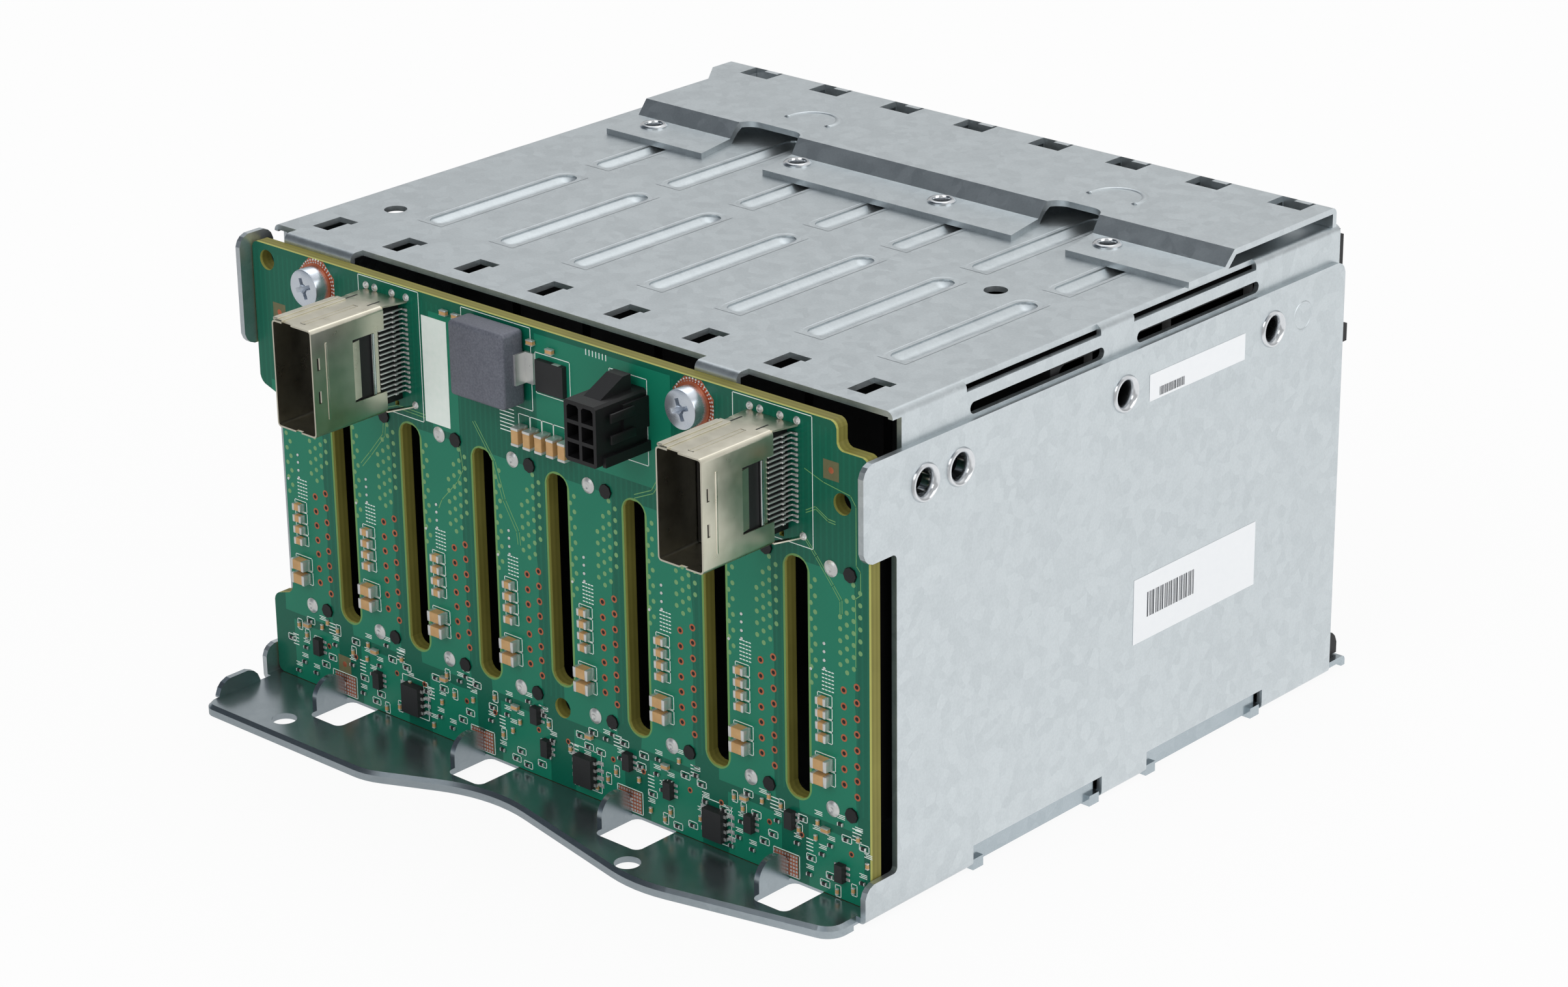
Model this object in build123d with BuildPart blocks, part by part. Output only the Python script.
from build123d import *
import os

# Sizes are in millimetres. X runs across the cage, Y into its depth and Z up. The origin is in the
# middle of the outline, on the surface that the cage stands on. Places across are given from the
# outer face of the right-hand wall, depths from the near edge of the walls, and heights from the
# underside of the base sheet: across(), into() and up() turn them into X, Y and Z.

# Cage sheet metal
cage_width = 134.4
wall_length = 118.0
wall_height = 72.9
sheet = 1.0
ride_height = 0.8
lip_reach = 14.6
tongue_reach = 6.0
board_set = 2.5
minisas_size = (9.0, 15.0, 17.7)
minisas_stand = 4.2
cover_height = 78.75
cover_sheet = 0.9
skirt_depth = 16.5
bend_radius = 1.2

# Drive bays
bay_count = 8
bay_pitch = 16.45
run_clearance = 0.3

# Small round pieces are many-sided, and small round corners are cut in three flats, to keep facets few
peg_sides = 8
rim_sides = 12
head_sides = 24
corner_cut = 0.634
corner_trim = 0.26

half_width = cage_width / 2
half_inner = half_width - sheet
# The cable connectors reach furthest in front of the walls, and the tongue furthest behind them
front_reach = minisas_stand + minisas_size[1] - board_set
near_edge = -(front_reach + wall_length + tongue_reach) / 2 + front_reach
far_edge = near_edge + wall_length
base_under = ride_height
base_top = base_under + sheet
cover_top = base_under + cover_height
cover_under = cover_top - cover_sheet
bays = [(bay_count - 1) / 2 * bay_pitch - i * bay_pitch for i in range(bay_count)]
gaps = bays[:-1]


def across(distance):
    return half_width - distance


def into(depth):
    return near_edge + depth


def up(height):
    return base_under + height


# Walls
ear_depth = 7.2
lower_ear_top = 6.1
upper_ear_bottom = 57.4
tall_ear_bottom = 59.7
tall_ear_top = 78.4
ear_round = 2.2
tip_round = 2.6
side_notches = [(24.9, 56.4), (67.9, 98.9)]
notch_height = 3.6
strip_height = 3.0
hook_length = 2.4

# Eyelets that join the walls to the cover skirt
eyelet_depths = [13.5, 21.4, 60.5, 98.4]
eyelet_height = 66.55
eyelet_bore = 1.9
eyelet_wall = 0.5
eyelet_rim = 3.0
eyelet_flare = 0.5
eyelet_tail = 0.3
rivet_bore = 1.2
rivet_rim = 2.4
fit_clearance = 0.05

# Front flange: corners by distance from the right-hand wall and reach in front of the walls, with
# the radius that each is rounded to
flange_corners = [(93.5, lip_reach), (73.7, 5.5), (34.9, 13.65), (1.3, 5.8)]
flange_radii = [12.0, 28.0, 26.0, 3.5]
flange_side_gap = 1.2
lip_wall = 1.2
lip_round = 0.9
lip_chamfer = 0.6
ear_inner_round = 0.8
flange_holes = [39.5, 118.0]
flange_hole_reach = 9.85
flange_hole_radius = 2.1
tab_places = [17.4, 50.4, 83.3, 116.2]
window_widths = [6.9, 9.4, 7.6, 7.4]
window_reach = 6.2
window_back = 3.4
tab_height = 5.0
tab_near = 4.3
rim_height = 2.8
rim_set = 2.6
rim_length = 9.0

# Backplane board
board_thickness = 2.4
board_height = 77.3
board_foot = 1.1
board_side_gap = 0.2
board_round = 1.2
board_step = (7.2, 73.0)
board_waist = 4.8
board_waist_span = (16.6, 51.5)
slot_shift = -5.7
slot_width = 4.5
slot_round = 1.7
slot_span = (15.3, 54.3)
short_slot_foot = 18.9
short_slot = 3
board_hole_radius = 1.7
board_holes = [(129.7, 74.6), (6.2, 64.9), (65.1, 14.7)]
board_front = into(board_set)
board_back = board_front + board_thickness

# Drive connectors behind the board
connector_shift = 3.0
connector_height = 35.0
connector_size = (6.2, 9.0, 44.0)
post_spacing = 38.6
post_shift = 1.9
post_radius = 1.2
post_stand = 0.5
blade_slot = 2.0
blade_depth = 6.0
blade_margin = 4.6
post_heights = [up(connector_height - post_spacing / 2), up(connector_height + post_spacing / 2)]

# Cover
cover_front = 7.6
cover_end = 117.6
skirt_front = 9.5
groove_shift = -5.5
groove_width = 4.8
groove_depth = 1.1
groove_rows = [(24.0, 57.2), (62.6, 95.8)]
keyhole_shift = -1.0
keyhole_size = (3.6, 6.0)
keyhole_depth = 13.7
keyhole_notch = 1.6
keyhole_notch_shift = 2.2
screw_tabs = [(28.8, 37.2), (112.2, 128.0)]
screw_tab_bottom = 69.0
vent_slots = [(24.0, 55.5), (63.6, 94.8)]
vent_height = 1.9
vent_bottom = 73.3
vent_rise = 1.9
vent_shift = 0.8
cover_holes = [(123.5, 25.2), (23.2, 57.6)]

# Board screws
screw_places = [35.3, 117.8]
screw_height = 73.1
screw_radius = 1.45
screw_head_radius = 3.15
screw_head_height = 2.4
washer_radius = 3.6
washer_thickness = 0.5
screw_end = 3.0
screw_head_edge = 0.6
recess_length = 3.4
recess_width = 0.9
recess_depth = 1.3

# Bracket on the far half of the cover
bracket_sheet = 1.0
bracket_rise = 3.35
bracket_feet_front = 77.2
bracket_slope = (86.5, 88.9)
bracket_end = 116.3
bracket_left = 132.1
bracket_right = 1.0
foot_gaps = [(25.0, 36.0), (89.5, 103.5)]
foot_gap_back = 91.0
foot_gap_slant = 3.0
foot_gap_round = 3.0
bracket_left_foot = 126.0
bracket_waist = 127.8
bracket_waist_end = 104.7
bracket_flare_end = 111.8
bracket_rivets_across = [21.7, 55.9, 87.5, 120.9]
bracket_rivet_depth = 83.5
hook_hole_shift = 2.0
hook_hole_size = (6.5, 4.4)
hook_hole_depth = 113.2
hook_tab_width = 3.0
hook_tab_reach = 1.1
hook_tab_shift = 1.2

# Connectors on the front of the board
minisas_places = [20.1, 102.2]
minisas_height = 66.25
shell_wall = 0.4
shell_round = 0.8
shell_legs = [(-1.9, 9.0), (2.05, 9.0), (-1.9, -9.0), (2.05, -9.0)]
leg_width = 0.8
notch_width = 3.2
notch_depth = 1.4
leaf_height = 11.5
leaf_length = 5.4
leaf_gap = 0.7
mouth_depth = 8.0
contact_count = 18
contact_pitch = 0.8
contact_thickness = 0.3
contact_shift = 0.55
contact_x = 4.2
contact_depth = 0.4
contact_reach = 3.9
base_half = (3.4, 7.9)
header_place = 48.2
header_height = 68.35
header_size = (6.6, 10.8, 9.7)
header_pitch = 3.0
header_cavity = 2.4
header_pin = 0.8
header_cavity_depth = 8.0
latch_width = 3.4
latch_height = 2.4
latch_start = 2.6
latch_peak = 7.6
latch_end = 9.2
header_chamfer = 0.4
key_rib = 0.7
key_rib_set = 1.2
key_rib_height = 1.6
side_rib = 0.5
side_rib_set = 5.4
pin_set = 2.5
pin_tail = 0.5

# Parts soldered to the front of the board
inductor_place = (76.5, 70.6)
inductor_size = (12.0, 4.9, 12.3)
inductor_round = 1.2
inductor_edge = 0.4
terminal_reach = 2.0
terminal_sheet = 0.4
terminal_rise = 2.6
terminal_half = 2.5
chip_place = (64.7, 70.05)
chip_size = (5.9, 0.9, 5.1)
bulk_places = [71.3, 68.75, 66.2, 63.7, 61.2]
bulk_height = 59.4
bulk_size = (1.6, 2.3, 3.1)
bypass_heights = [33.0, 31.0, 29.0, 27.0]
bypass_size = (2.0, 1.1, 1.25)
filter_heights = [22.9, 20.4]
filter_size = (3.2, 1.7, 1.8)
passive_shift = -0.3
driver_places = [(99.3, 6.1), (59.9, 5.7), (32.1, 5.5)]
driver_size = (3.9, 1.5, 5.0)
lead_count = 4
lead_pitch = 1.27
lead_reach = 1.0
lead_sheet = 0.25
lead_half = 0.22
transistor_places = [(70.8, 11.9), (68.7, 6.8), (50.6, 10.2), (41.9, 8.1), (122.2, 8.7), (107.8, 6.9)]
transistor_places += [(25.0, 7.9), (16.7, 11.3), (6.7, 5.7)]
transistor_size = (1.5, 1.1, 2.9)

# Drive blanks
blank_width = 14.6
blank_inner_end = 45.0
blank_rail = 2.0
blank_top = 76.2
bezel_set = 118.3
bezel_thickness = 2.2
blank_round = 1.5
latch_inset = 2.4
latch_rise = 0.9
latch_nose = 2.5
latch_nose_top = 0.2
latch_nose_foot = 2.0
latch_foot = 3.2
grip_reach = 2.0
grip_span = (57.4, 60.4)
panel_inset = 2.0
panel_reach = 0.8
panel_span = (17.0, 54.2)
foot_reach = 2.8
foot_height = 4.4


def face_plane(y):
    """Upright plane facing the near side, with X across and Z up."""
    return Plane(origin=(0, y, 0), x_dir=(1, 0, 0), z_dir=(0, -1, 0))


def side_plane(x):
    """Upright plane facing the right-hand side, with Y along it and Z up."""
    return Plane(origin=(x, 0, 0), x_dir=(0, 1, 0), z_dir=(1, 0, 0))


def block(x, y, z, mode=Mode.ADD):
    """Box between pairs of limits along X, Y and Z, for the builder that is open."""
    size = (x[1] - x[0], y[1] - y[0], z[1] - z[0])
    with Locations(((x[0] + x[1]) / 2, (y[0] + y[1]) / 2, (z[0] + z[1]) / 2)):
        Box(*size, mode=mode)


def soften(corners, radius):
    """Cut corners of the sketch that is open to a small radius, in three flats each."""
    places = [(corner.X, corner.Y) for corner in corners]
    chamfer(corners, radius * corner_cut)
    reach = radius * corner_cut + fit_clearance
    cut = [v for v in vertices() if any(abs(v.X - x) < reach and abs(v.Y - y) < reach for x, y in places)]
    chamfer(cut, radius * corner_trim)


def soft_rectangle(width, height, radius):
    with BuildSketch() as outline:
        Rectangle(width, height)
        soften(outline.vertices(), radius)
    return outline.sketch


def cut_rectangle(width, height, cut):
    """Outline of a rectangle with its corners cut off at 45 degrees."""
    with BuildSketch() as shape:
        Rectangle(width, height)
        chamfer(shape.vertices(), cut)
    return shape.sketch


def outward(side, inset, depth):
    """Plane facing out of a side wall at eyelet height, set in from the wall's outer face."""
    return Plane(origin=(side * (half_width - inset), into(depth), up(eyelet_height)), z_dir=(side, 0, 0))


def eyelet_holes():
    """Outlines, just outside the walls, of the holes that the eyelets go through."""
    holes = []
    for side in (1, -1):
        for depth in eyelet_depths:
            with BuildSketch(outward(side, -sheet, depth)) as hole:
                Circle(eyelet_bore + eyelet_wall + fit_clearance)
            holes.append(hole.sketch)
    return holes


def write(name, built):
    built.label = name
    export_step(built, f"parts/{name}.step")


def flange_outline(back):
    """Front flange of the base, from its left tip along the wavy edge to the right-hand wall."""
    left = -half_width + flange_side_gap
    corners = [(across(distance), near_edge - reach) for distance, reach in flange_corners]
    points = [(left, back), (left, near_edge - lip_reach), *corners, (corners[-1][0], back)]
    with BuildLine() as edge:
        FilletPolyline(*points, radius=[tip_round, *flange_radii])
        Line(points[-1], points[0])
    with BuildSketch() as outline:
        add(edge.line)
        make_face()
    return outline.sketch


def make_cage_base():
    with BuildPart() as base:
        # Flange in front of the board, with its edge turned down
        with BuildSketch(Plane.XY.offset(base_under)):
            add(flange_outline(near_edge + sheet))
        extrude(amount=sheet)
        with BuildSketch():
            add(flange_outline(near_edge + sheet))
            offset(amount=-lip_wall, kind=Kind.INTERSECTION, mode=Mode.SUBTRACT)
            with Locations((0, near_edge + sheet)):
                Rectangle(2 * cage_width, 2 * (sheet + lip_wall), mode=Mode.SUBTRACT)
        extrude(amount=base_under)
        rim = base.edges().group_by(Axis.Z)[-1].filter_by(lambda e: e.center().Y < near_edge - lip_wall)
        chamfer(rim, lip_chamfer)
        # Floor between the walls, with a tongue turned down past their far edge
        with BuildSketch(side_plane(0)):
            with BuildLine():
                Polyline(
                    (near_edge, base_under),
                    (near_edge, base_top),
                    (far_edge + tongue_reach, base_top),
                    (far_edge + tongue_reach, 0),
                    (far_edge + tongue_reach - sheet, 0),
                    (far_edge + tongue_reach - sheet, base_under),
                    close=True,
                )
            make_face()
            fillet(vertices().sort_by(lambda v: v.X + v.Y)[-1], lip_round)
        extrude(amount=half_inner, both=True)
        # Upturned strip at each window in the walls, with a small hook at either end
        for side in (1, -1):
            for start, end in side_notches:
                strip = sorted((side * half_inner, side * (half_inner - sheet)))
                block(strip, (into(start + sheet), into(end - sheet)), (base_under, up(strip_height)))
                hook = sorted((side * (half_inner - sheet), side * (half_width - run_clearance)))
                for near in (start + run_clearance, end - run_clearance - hook_length):
                    block(hook, (into(near), into(near + hook_length)), (0, base_top))
        for distance in flange_holes:
            with Locations((across(distance), near_edge - flange_hole_reach, base_under)):
                Cylinder(flange_hole_radius, 3 * sheet, mode=Mode.SUBTRACT)
        # Half-round tabs that hold the foot of the board, each beside the window that it is bent up from
        for distance, width in zip(tab_places, window_widths):
            edge = across(distance)
            window = soft_rectangle(width, window_back + window_reach, bend_radius)
            with BuildSketch(Plane.XY.offset(base_under)):
                with Locations((edge + width / 2, near_edge + (window_back - window_reach) / 2)):
                    add(window)
            extrude(amount=sheet, mode=Mode.SUBTRACT)
            with BuildSketch(side_plane(edge - sheet)):
                with Locations((near_edge + (board_set - tab_near) / 2, base_top + tab_height / 2)):
                    Rectangle(board_set + tab_near, tab_height)
                fillet(vertices().group_by(Axis.Y)[-1], (board_set + tab_near) / 2 - fit_clearance)
            extrude(amount=sheet)
        # Low rim along the left end of the flange
        with BuildSketch(side_plane(-half_width + flange_side_gap)):
            with Locations((near_edge - rim_set - rim_length / 2, base_top + rim_height / 2)):
                Rectangle(rim_length, rim_height)
            soften(vertices().group_by(Axis.Y)[-1], rim_height)
        extrude(amount=sheet)
    return base.part


def make_cage_wall(side):
    """Side wall on the edge of the floor, with ears above and below the cut-out beside the board."""
    ear_bottom = upper_ear_bottom if side > 0 else tall_ear_bottom
    with BuildPart() as wall:
        with BuildSketch(side_plane(side * (half_width - sheet / 2))):
            with BuildLine():
                Polyline(
                    (near_edge, base_under),
                    (near_edge, up(lower_ear_top)),
                    (into(ear_depth), up(lower_ear_top)),
                    (into(ear_depth), up(ear_bottom)),
                    (near_edge, up(ear_bottom)),
                    (near_edge, up(wall_height)),
                    (far_edge, up(wall_height)),
                    (far_edge, base_under),
                    close=True,
                )
            make_face()
            if side < 0:
                with Locations((into(ear_depth / 2), up((ear_bottom + tall_ear_top) / 2))):
                    Rectangle(ear_depth, tall_ear_top - ear_bottom)
            corners = [v for v in vertices() if v.Y > up(sheet)]
            tall = [v for v in corners if v.Y > up(tall_ear_top) - sheet and v.X > near_edge + sheet]
            outer = [v for v in corners if v.X < near_edge + sheet or v.X > far_edge - sheet]
            inner = [v for v in corners if abs(v.X - into(ear_depth)) < sheet and v.Y < up(ear_bottom) + sheet]
            soften(inner, ear_inner_round)
            soften(outer + tall, ear_round)
        extrude(amount=sheet / 2, both=True)
        bend = wall.edges().filter_by(Axis.Y).group_by(Axis.Z)[0].sort_by(Axis.X)
        fillet(bend[-1] if side > 0 else bend[0], lip_round)
        thickness = sorted((side * half_inner, side * half_width))
        for start, end in side_notches:
            block(thickness, (into(start), into(end)), (0, up(notch_height)), Mode.SUBTRACT)
        for hole in eyelet_holes():
            extrude(hole, amount=-4 * sheet, mode=Mode.SUBTRACT)
    return wall.part


def rivet_holes(top):
    """Outlines of the holes for the bracket rivets, on the sheet whose top is given."""
    with BuildSketch(Plane.XY.offset(top)) as holes:
        with Locations([(across(distance), into(bracket_rivet_depth)) for distance in bracket_rivets_across]):
            RegularPolygon(rivet_bore + eyelet_wall + fit_clearance, rim_sides)
    return holes.sketch


def make_top_cover():
    front = into(cover_front)
    end = into(cover_end)
    with BuildPart() as cover:
        with BuildSketch(face_plane(front)):
            with BuildLine():
                Polyline(
                    (-half_inner, up(wall_height)),
                    (-half_inner, cover_top),
                    (half_inner, cover_top),
                    (half_inner, up(wall_height)),
                    (half_inner - cover_sheet, up(wall_height)),
                    (half_inner - cover_sheet, cover_under),
                    (-half_inner + cover_sheet, cover_under),
                    (-half_inner + cover_sheet, up(wall_height)),
                    close=True,
                )
            make_face()
            fillet(vertices().group_by(Axis.Y)[-1], bend_radius)
        extrude(amount=-(end - front))
        for side in (1, -1):
            skirt = sorted((side * (half_inner - cover_sheet), side * (half_inner + sheet)))
            block(skirt, (front, into(skirt_front)), (up(wall_height), cover_top - bend_radius), Mode.SUBTRACT)
            # Two vent windows, one on the bend and one below it in the skirt
            for start, stop in vent_slots:
                window = (up(vent_bottom + vent_height + vent_rise), cover_top)
                block(skirt, (into(start), into(stop)), window, Mode.SUBTRACT)
                vent = soft_rectangle(stop - start, vent_height, vent_height / 2 - fit_clearance)
                with BuildSketch(side_plane(side * (half_inner - cover_sheet))):
                    with Locations((into((start + stop) / 2 + vent_shift), up(vent_bottom + vent_height / 2))):
                        add(vent)
                extrude(amount=side * sheet, mode=Mode.SUBTRACT)
        # Tabs bent down behind the board, which take its screws
        for start, stop in screw_tabs:
            with BuildSketch(side_plane(across(stop))):
                with BuildLine():
                    Polyline(
                        (board_back, up(screw_tab_bottom)),
                        (board_back, cover_top),
                        (front + sheet, cover_top),
                        (front + sheet, cover_under),
                        (board_back + cover_sheet, cover_under),
                        (board_back + cover_sheet, up(screw_tab_bottom)),
                        close=True,
                    )
                make_face()
                fillet(vertices().sort_by(lambda v: v.Y - v.X)[-1], bend_radius)
            extrude(amount=stop - start)
        with BuildSketch(face_plane(board_back)):
            with Locations([(across(distance), up(screw_height)) for distance in screw_places]):
                RegularPolygon(screw_radius + fit_clearance, rim_sides)
        extrude(amount=-2 * sheet, mode=Mode.SUBTRACT)
        # Pressed grooves between the bays
        for start, stop in groove_rows:
            groove_foot = cut_rectangle(groove_width, stop - start, groove_width / 4)
            inner_width, inner_length = groove_width - cover_sheet, stop - start - cover_sheet
            groove_mouth = soft_rectangle(inner_width, inner_length, inner_width / 2 - fit_clearance)
            for bay in gaps:
                middle = (bay + groove_shift, into((start + stop) / 2))
                with BuildSketch(Plane.XY.offset(cover_under - groove_depth)):
                    with Locations(middle):
                        add(groove_foot)
                extrude(amount=groove_depth)
                with BuildSketch(Plane.XY.offset(cover_top)):
                    with Locations(middle):
                        add(groove_mouth)
                extrude(amount=-groove_depth, mode=Mode.SUBTRACT)
        for bay in bays:
            with BuildSketch(Plane.XY.offset(cover_under - groove_depth)):
                with Locations((bay + keyhole_shift, into(keyhole_depth))):
                    Rectangle(*keyhole_size)
                notch_depth_place = into(keyhole_depth + keyhole_notch_shift)
                with Locations((bay + keyhole_shift + keyhole_size[0] / 2, notch_depth_place)):
                    Rectangle(keyhole_notch, keyhole_notch)
            extrude(amount=3 * cover_sheet, mode=Mode.SUBTRACT)
        for distance, depth in cover_holes:
            with Locations((across(distance), into(depth), cover_top)):
                Cylinder(eyelet_bore, 3 * cover_sheet, mode=Mode.SUBTRACT)
        extrude(rivet_holes(cover_top), amount=-2 * cover_sheet, mode=Mode.SUBTRACT)
    return cover.part


def make_cover_skirt(side):
    """Skirt of the cover where it stands inside a side wall, from the wall's top edge down."""
    thickness = sorted((side * (half_inner - cover_sheet), side * half_inner))
    with BuildPart() as skirt:
        block(thickness, (into(skirt_front), into(cover_end)), (cover_top - skirt_depth, up(wall_height)))
        for hole in eyelet_holes():
            extrude(hole, amount=-4 * sheet, mode=Mode.SUBTRACT)
    return skirt.part


def make_top_bracket():
    foot_top = cover_top + bracket_sheet
    plate_top = cover_top + bracket_rise
    slope_start, slope_end = (into(depth) for depth in bracket_slope)
    end = into(bracket_end)
    with BuildPart() as bracket:
        with BuildSketch(side_plane(across(bracket_left))):
            with BuildLine():
                Polyline(
                    (into(bracket_feet_front), cover_top),
                    (into(bracket_feet_front), foot_top),
                    (slope_start, foot_top),
                    (slope_end, plate_top),
                    (end, plate_top),
                    (end, cover_top + fit_clearance),
                    (end - bracket_sheet, cover_top + fit_clearance),
                    (end - bracket_sheet, plate_top - bracket_sheet),
                    (slope_end + 0.42, plate_top - bracket_sheet),
                    (slope_start + 0.42, cover_top),
                    close=True,
                )
            make_face()
            fillet(vertices().sort_by(lambda v: v.X + v.Y)[-1], bend_radius)
        extrude(amount=bracket_left - bracket_right)
        # Gaps between the feet, and the narrow stretch behind the left foot
        with BuildSketch(Plane.XY.offset(cover_top)):
            for start, stop in foot_gaps:
                with BuildLine():
                    Polyline(
                        (across(stop), into(bracket_feet_front) - 1),
                        (across(start), into(bracket_feet_front) - 1),
                        (across(start) - foot_gap_slant, into(foot_gap_back)),
                        (across(stop) - foot_gap_slant, into(foot_gap_back)),
                        close=True,
                    )
                make_face()
            fillet(vertices().group_by(Axis.Y)[-1], foot_gap_round)
            with BuildLine():
                Polyline(
                    (across(bracket_left + 1), into(bracket_feet_front) - 1),
                    (across(bracket_left_foot), into(bracket_feet_front) - 1),
                    (across(bracket_waist), into(bracket_slope[1])),
                    (across(bracket_waist), into(bracket_waist_end)),
                    (across(bracket_left + 1), into(bracket_flare_end)),
                    close=True,
                )
            make_face()
        extrude(amount=2 * bracket_rise, mode=Mode.SUBTRACT)
        for bay in bays:
            with BuildSketch(Plane.XY.offset(cover_top + bracket_rise)):
                with Locations((bay + hook_hole_shift, into(hook_hole_depth))):
                    Rectangle(*hook_hole_size)
                tab_place = into(hook_hole_depth) + hook_hole_size[1] / 2
                with Locations((bay + hook_hole_shift + hook_tab_shift, tab_place)):
                    Rectangle(hook_tab_width, 2 * hook_tab_reach, mode=Mode.SUBTRACT)
            extrude(amount=-2 * bracket_sheet, mode=Mode.SUBTRACT)
        extrude(rivet_holes(foot_top), amount=-2 * bracket_sheet, mode=Mode.SUBTRACT)
    return bracket.part


def make_bracket_rivets():
    """Hollow rivets through bracket and cover, each with a rim on its foot of the bracket."""
    places = [(across(distance), into(bracket_rivet_depth)) for distance in bracket_rivets_across]
    foot_top = cover_top + bracket_sheet
    with BuildPart() as rivets:
        with BuildSketch(Plane.XY.offset(cover_under)):
            with Locations(places):
                RegularPolygon(rivet_bore + eyelet_wall, rim_sides)
        extrude(amount=foot_top - cover_under)
        with BuildSketch(Plane.XY.offset(foot_top)):
            with Locations(places):
                RegularPolygon(rivet_rim, rim_sides)
        extrude(amount=eyelet_wall)
        chamfer(rivets.edges().group_by(Axis.Z)[-1], eyelet_wall / 2)
        with BuildSketch(Plane.XY.offset(cover_under)):
            with Locations(places):
                RegularPolygon(rivet_bore, rim_sides)
        extrude(amount=foot_top + eyelet_wall - cover_under, mode=Mode.SUBTRACT)
    return rivets.part


def make_side_eyelets():
    """Eyelets through walls and skirts, with a round bore and a rim on the wall's outer face."""
    inner_end = sheet + cover_sheet + eyelet_tail
    with BuildPart() as eyelets:
        for side in (1, -1):
            for depth in eyelet_depths:
                with BuildSketch(outward(side, inner_end, depth)):
                    RegularPolygon(eyelet_bore + eyelet_wall, rim_sides)
                    Circle(eyelet_bore, mode=Mode.SUBTRACT)
                extrude(amount=inner_end)
                with BuildSketch(outward(side, 0, depth)):
                    RegularPolygon(eyelet_rim, rim_sides)
                    Circle(eyelet_bore, mode=Mode.SUBTRACT)
                extrude(amount=eyelet_flare)
    return eyelets.part


def board_outline():
    right = half_inner - board_side_gap
    left = -right
    step_in, step_height = board_step
    waist_low, waist_high = board_waist_span
    with BuildLine() as edge:
        Polyline(
            (left, up(board_foot)),
            (left, up(waist_low - 1.4)),
            (left + board_waist, up(waist_low)),
            (left + board_waist, up(waist_high)),
            (left, up(waist_high + 1.6)),
            (left, up(board_height)),
            (across(step_in), up(board_height)),
            (across(step_in), up(step_height)),
            (right, up(step_height)),
            (right, up(board_foot)),
            close=True,
        )
    with BuildSketch() as outline:
        add(edge.line)
        make_face()
        soften(outline.vertices(), board_round)
    return outline.sketch


def make_backplane_board():
    slots = []
    for i, bay in enumerate(gaps):
        low = short_slot_foot if i == short_slot else slot_span[0]
        middle = (bay + slot_shift, up((low + slot_span[1]) / 2))
        slots.append((middle, soft_rectangle(slot_width, slot_span[1] - low, slot_round)))
    outline = board_outline()
    with BuildPart() as board:
        with BuildSketch(face_plane(board_front)):
            add(outline)
            for middle, slot in slots:
                with Locations(middle):
                    add(slot, mode=Mode.SUBTRACT)
            with Locations([(across(d), up(h)) for d, h in board_holes]):
                RegularPolygon(board_hole_radius, head_sides, mode=Mode.SUBTRACT)
            with Locations([(across(d), up(screw_height)) for d in screw_places]):
                RegularPolygon(screw_radius + fit_clearance, rim_sides, mode=Mode.SUBTRACT)
            for shift in (post_shift, -post_shift):
                with Locations([(bay + connector_shift + shift, height) for bay in bays for height in post_heights]):
                    RegularPolygon(post_radius + fit_clearance, peg_sides, mode=Mode.SUBTRACT)
            leg_hole = leg_width + 2 * fit_clearance
            for place in minisas_places:
                with Locations([(across(place) + x, up(minisas_height) + z) for x, z in shell_legs]):
                    Rectangle(leg_hole, leg_hole, mode=Mode.SUBTRACT)
            pin_hole = header_pin + 2 * fit_clearance
            with Locations(header_pin_places()):
                Rectangle(pin_hole, pin_hole, mode=Mode.SUBTRACT)
        extrude(amount=-board_thickness)
    return board.part


def make_drive_connector(bay):
    """Receptacle behind the board: body with a blade slot, a key wall and two guide posts."""
    middle = bay + connector_shift
    width, depth, height = connector_size
    low, high = up(connector_height) - height / 2, up(connector_height) + height / 2
    back = board_back + depth
    with BuildPart() as connector:
        block((middle - width / 2, middle + width / 2), (board_back, back), (low, high))
        block(
            (middle - blade_slot / 2, middle + blade_slot / 2),
            (back - blade_depth, back),
            (low + blade_margin, high - blade_margin),
            Mode.SUBTRACT,
        )
        block(
            (middle - width / 2, middle + blade_slot / 2),
            (back - blade_depth, back),
            (low + blade_margin, low + 2 * blade_margin),
            Mode.SUBTRACT,
        )
        chamfer(connector.edges().group_by(Axis.Y)[-1].filter_by(Axis.X), 0.5)
        with BuildSketch(face_plane(board_back)):
            with Locations([(middle + post_shift, height) for height in post_heights]):
                RegularPolygon(post_radius, peg_sides)
        extrude(amount=board_thickness + run_clearance)
    return connector.part


def make_connector_solder_posts():
    with BuildPart() as posts:
        with BuildSketch(face_plane(board_back)):
            with Locations([(bay + connector_shift - post_shift, height) for bay in bays for height in post_heights]):
                RegularPolygon(post_radius, peg_sides)
        extrude(amount=board_thickness + post_stand)
        chamfer(posts.edges().group_by(Axis.Y)[0], post_stand / 2)
    return posts.part


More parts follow.
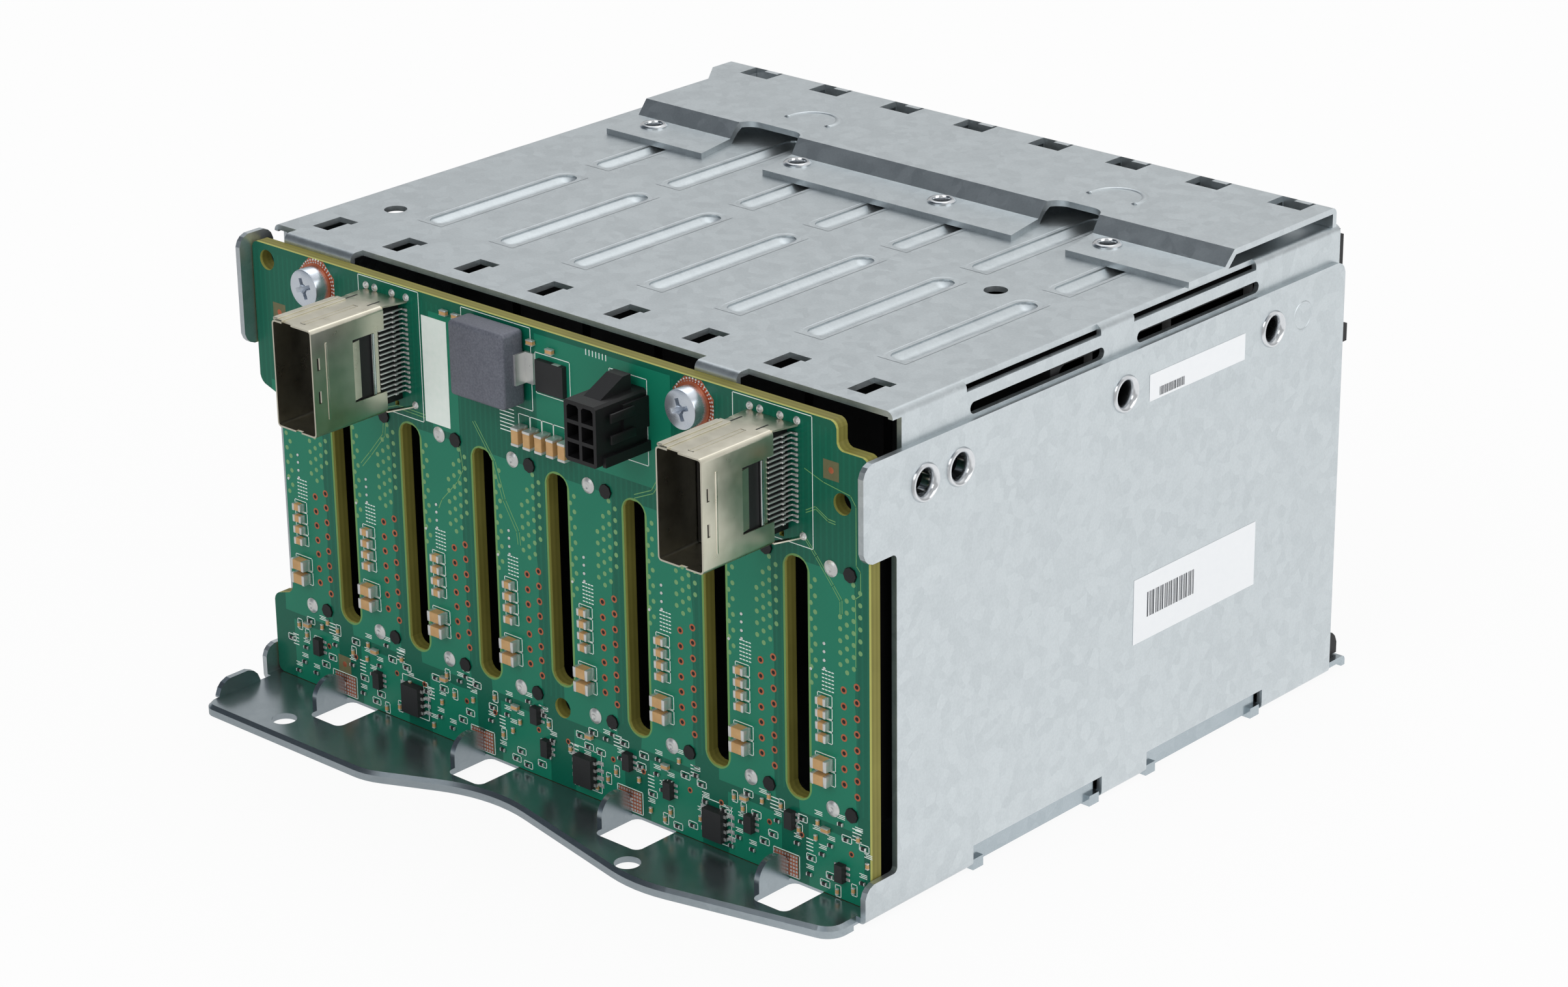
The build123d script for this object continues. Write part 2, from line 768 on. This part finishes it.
def make_minisas_shell(place):
    middle, height = across(place), up(minisas_height)
    width, length, tall = minisas_size
    mouth = board_front - minisas_stand - length
    back = board_front - minisas_stand
    outline = soft_rectangle(width, tall, shell_round)
    with BuildPart() as shell:
        with BuildSketch(face_plane(mouth)):
            with Locations((middle, height)):
                add(outline)
                Rectangle(width - 2 * shell_wall, tall - 2 * shell_wall, mode=Mode.SUBTRACT)
        extrude(amount=-length)
        # Stepped notches at the mouth, in the top and in the bottom
        for side in (1, -1):
            edge = sorted((height + side * tall / 2, height + side * (tall / 2 - 2 * shell_wall)))
            block((middle + width / 2 - notch_width, middle + width / 2), (mouth, mouth + notch_depth), edge, Mode.SUBTRACT)
        # Spring leaf cut out of the right-hand side, and two small slots near the mouth
        side_wall = (middle + width / 2 - 2 * shell_wall, middle + width / 2 + shell_wall)
        leaf = (height - leaf_height / 2, height + leaf_height / 2)
        for low in (leaf[0], leaf[1] - leaf_gap):
            block(side_wall, (back - leaf_length, back - shell_wall * 3), (low, low + leaf_gap), Mode.SUBTRACT)
        for level in (height + 2.4, height - 2.6):
            block(side_wall, (mouth + 6.0, mouth + 6.6), (level - 0.7, level + 0.7), Mode.SUBTRACT)
        with BuildSketch(face_plane(back)):
            with Locations([(middle + x, height + z) for x, z in shell_legs]):
                Rectangle(leg_width, leg_width)
        extrude(amount=-(minisas_stand + board_thickness))
        # Each leg is carried by a foot of the shell
        for x, z in shell_legs:
            wall = sorted((height + z, height + (1 if z > 0 else -1) * tall / 2))
            block((middle + x - leg_width / 2, middle + x + leg_width / 2), (back - 1, back + leg_width / 2), wall)
    return shell.part


def make_minisas_housing(place):
    middle, height = across(place), up(minisas_height)
    width, length, tall = minisas_size
    mouth = board_front - minisas_stand - length
    back = board_front - minisas_stand
    inside = (width / 2 - shell_wall - fit_clearance, tall / 2 - shell_wall - fit_clearance)
    with BuildPart() as housing:
        block(
            (middle - inside[0], middle + inside[0]),
            (mouth + mouth_depth, mouth + length - 1 - fit_clearance),
            (height - inside[1], height + inside[1]),
        )
        block(
            (middle - base_half[0], middle + base_half[0]),
            (back - 2, board_front),
            (height - base_half[1], height + base_half[1]),
        )
        block(
            (middle - blade_slot / 2, middle + blade_slot / 2),
            (mouth + mouth_depth, mouth + mouth_depth + 4.5),
            (height - 6.6, height + 6.6),
            Mode.SUBTRACT,
        )
    return housing.part


def make_minisas_contacts(place):
    """Row of contact feet that stand on the board along the right-hand side of the connector's base."""
    middle, height = across(place), up(minisas_height)
    low = height - (contact_count - 1) / 2 * contact_pitch + contact_shift
    reach = contact_x + contact_depth / 2 - base_half[0]
    with BuildPart() as contacts:
        with Locations([(middle + base_half[0] + reach / 2, 0, low + i * contact_pitch) for i in range(contact_count)]):
            with Locations((0, board_front - contact_reach / 2, 0)):
                Box(reach, contact_reach, contact_thickness)
    return contacts.part


def header_pin_places():
    offsets = (-header_pitch / 2, header_pitch / 2)
    rows = (-header_pitch, 0, header_pitch)
    return [(across(header_place) + x, up(header_height) + z) for x in offsets for z in rows]


def make_power_header_housing():
    middle, height = across(header_place), up(header_height)
    width, depth, tall = header_size
    front = board_front - depth
    with BuildPart() as housing:
        with BuildSketch(face_plane(board_front)):
            with Locations((middle, height)):
                Rectangle(width, tall)
            chamfer(vertices(), header_chamfer)
            with Locations(header_pin_places()):
                Rectangle(header_pin + 2 * fit_clearance, header_pin + 2 * fit_clearance, mode=Mode.SUBTRACT)
        extrude(amount=depth)
        with BuildSketch(face_plane(front)) as cavities:
            for x, z in header_pin_places():
                with Locations((x, z)):
                    Rectangle(header_cavity, header_cavity)
            chamfer(cavities.vertices().group_by(Axis.Y)[-1], header_chamfer)
        extrude(amount=-header_cavity_depth, mode=Mode.SUBTRACT)
        # Latch ramp on the top, and a rib under the right-hand side
        with BuildSketch(side_plane(middle - latch_width / 2)):
            with BuildLine():
                Polyline(
                    (front + latch_start, height + tall / 2),
                    (front + latch_peak, height + tall / 2 + latch_height),
                    (front + latch_end, height + tall / 2 + latch_height),
                    (front + latch_end, height + tall / 2),
                    close=True,
                )
            make_face()
        extrude(amount=latch_width)
        side = middle + width / 2
        block((side, side + key_rib), (front + key_rib_set, board_front), (height - tall / 2, height - tall / 2 + key_rib_height))
        block((side, side + side_rib), (front + side_rib_set, board_front), (height - 1, height + tall / 2 - 1))
    return housing.part


def make_power_header_pins():
    front = board_front - header_size[1]
    with BuildPart() as pins:
        for x, z in header_pin_places():
            thickness = (x - header_pin / 2, x + header_pin / 2)
            block(thickness, (front + pin_set, board_back + pin_tail), (z - header_pin / 2, z + header_pin / 2))
    return pins.part


def make_inductor_body():
    distance, height = inductor_place
    width, depth, tall = inductor_size
    with BuildPart() as body:
        with BuildSketch(face_plane(board_front - run_clearance / 2)):
            with Locations((across(distance), up(height))):
                Rectangle(width, tall)
            soften(vertices(), inductor_round)
        extrude(amount=depth)
        chamfer(body.edges().group_by(Axis.Y)[0], inductor_edge)
    return body.part


def make_inductor_terminals():
    distance, height = inductor_place
    width, depth, tall = inductor_size
    with BuildPart() as terminals:
        for side in (1, -1):
            outer = sorted((across(distance) + side * width / 2, across(distance) + side * (width / 2 + terminal_reach)))
            riser = sorted((across(distance) + side * width / 2, across(distance) + side * (width / 2 + terminal_sheet)))
            level = (up(height) - terminal_half, up(height) + terminal_half)
            block(outer, (board_front - terminal_sheet, board_front), level)
            block(riser, (board_front - terminal_rise, board_front), level)
    return terminals.part


def make_soldered(places, size, shift=0.0):
    """Blocks of one size standing on the front of the board, at distances across and heights."""
    with BuildPart() as blocks:
        with Locations([(across(d), board_front - size[1] / 2 - shift, up(h)) for d, h in places]):
            Box(*size)
    return blocks.part


def bay_places(heights):
    return [(half_width - bay - passive_shift, height) for bay in bays for height in heights]


def make_driver_chip_leads():
    """Four feet along each side of every driver chip."""
    width = driver_size[0]
    with BuildPart() as leads:
        for distance, height in driver_places:
            for side in (1, -1):
                reach = sorted(across(distance) + side * x for x in (width / 2, width / 2 + lead_reach))
                for i in range(lead_count):
                    level = up(height) + (i - (lead_count - 1) / 2) * lead_pitch
                    block(reach, (board_front - lead_sheet, board_front), (level - lead_half, level + lead_half))
    return leads.part


def make_board_screws():
    head = board_front - washer_thickness
    places = [(across(distance), up(screw_height)) for distance in screw_places]
    with BuildPart() as screws:
        with BuildSketch(face_plane(head)):
            with Locations(places):
                RegularPolygon(screw_head_radius, head_sides)
        extrude(amount=screw_head_height)
        chamfer(screws.edges().group_by(Axis.Y)[0], screw_head_edge)
        with BuildSketch(face_plane(head)):
            with Locations(places):
                RegularPolygon(screw_radius, rim_sides)
        extrude(amount=-(washer_thickness + board_thickness + cover_sheet + screw_end))
        with BuildSketch(face_plane(head - screw_head_height)):
            with Locations(places):
                Rectangle(recess_length, recess_width)
                Rectangle(recess_width, recess_length)
        extrude(amount=-recess_depth, mode=Mode.SUBTRACT)
    return screws.part


def make_screw_washers():
    with BuildPart() as washers:
        for distance in screw_places:
            with BuildSketch(face_plane(board_front)):
                with Locations((across(distance), up(screw_height))):
                    RegularPolygon(washer_radius, head_sides)
                    RegularPolygon(screw_radius + fit_clearance, rim_sides, mode=Mode.SUBTRACT)
            extrude(amount=washer_thickness)
    return washers.part


def make_drive_blank(bay):
    """Open frame that fills an empty bay: rails, an inner end and a bezel with its latch."""
    x = (bay - blank_width / 2, bay + blank_width / 2)
    low, high = base_top + run_clearance, up(blank_top)
    inner = into(blank_inner_end)
    face = into(bezel_set)
    out = face + bezel_thickness
    with BuildPart() as blank:
        with BuildSketch(side_plane(x[0])):
            with Locations(((inner + face) / 2, (low + high) / 2)):
                Rectangle(face - inner, high - low)
                Rectangle(face - inner - 2 * blank_rail, high - low - 2 * blank_rail, mode=Mode.SUBTRACT)
            soften(vertices(), blank_round)
        extrude(amount=blank_width)
        block(x, (face, out), (low, high))
        # Latch hook at the top of the bezel
        with BuildSketch(side_plane(x[0] + latch_inset)):
            with BuildLine():
                Polyline(
                    (face, high + latch_rise),
                    (out, high + latch_rise),
                    (out + latch_nose, high - latch_nose_top),
                    (out + latch_nose, high - latch_nose_foot),
                    (out, high - latch_foot),
                    (face, high - latch_foot),
                    close=True,
                )
            make_face()
        extrude(amount=blank_width - 2 * latch_inset)
        # Raised grip, strip and foot on the bezel
        block(x, (out, out + grip_reach), (up(grip_span[0]), up(grip_span[1])))
        block((x[0] + panel_inset, x[1] - panel_inset), (out, out + panel_reach), (up(panel_span[0]), up(panel_span[1])))
        with BuildSketch(side_plane(x[0])):
            with Locations((out + foot_reach / 2, low + foot_height / 2)):
                Rectangle(foot_reach, foot_height)
            soften(vertices().sort_by(lambda v: v.X + v.Y)[-1:], foot_reach - fit_clearance)
        extrude(amount=blank_width)
    return blank.part


os.makedirs("parts", exist_ok=True)
write("cage_base", make_cage_base())
write("cage_wall_right", make_cage_wall(1))
write("cage_wall_left", make_cage_wall(-1))
write("top_cover", make_top_cover())
write("cover_skirt_right", make_cover_skirt(1))
write("cover_skirt_left", make_cover_skirt(-1))
write("top_bracket", make_top_bracket())
write("bracket_rivets", make_bracket_rivets())
write("side_eyelets", make_side_eyelets())
write("backplane_board", make_backplane_board())
for i, bay in enumerate(bays):
    write(f"drive_connector_{i + 1}", make_drive_connector(bay))
    write(f"drive_blank_{i + 1}", make_drive_blank(bay))
write("connector_solder_posts", make_connector_solder_posts())
for side, place in zip(("right", "left"), minisas_places):
    write(f"minisas_shell_{side}", make_minisas_shell(place))
    write(f"minisas_housing_{side}", make_minisas_housing(place))
    write(f"minisas_contacts_{side}", make_minisas_contacts(place))
write("power_header_housing", make_power_header_housing())
write("power_header_pins", make_power_header_pins())
write("inductor_body", make_inductor_body())
write("inductor_terminals", make_inductor_terminals())
write("regulator_chip", make_soldered([chip_place], chip_size))
write("driver_chips", make_soldered(driver_places, driver_size))
write("driver_chip_leads", make_driver_chip_leads())
write("small_transistors", make_soldered(transistor_places, transistor_size))
write("bulk_capacitors", make_soldered([(d, bulk_height) for d in bulk_places], bulk_size))
write("bypass_capacitors", make_soldered(bay_places(bypass_heights), bypass_size))
write("filter_capacitors", make_soldered(bay_places(filter_heights), filter_size))
write("board_screws", make_board_screws())
write("screw_washers", make_screw_washers())
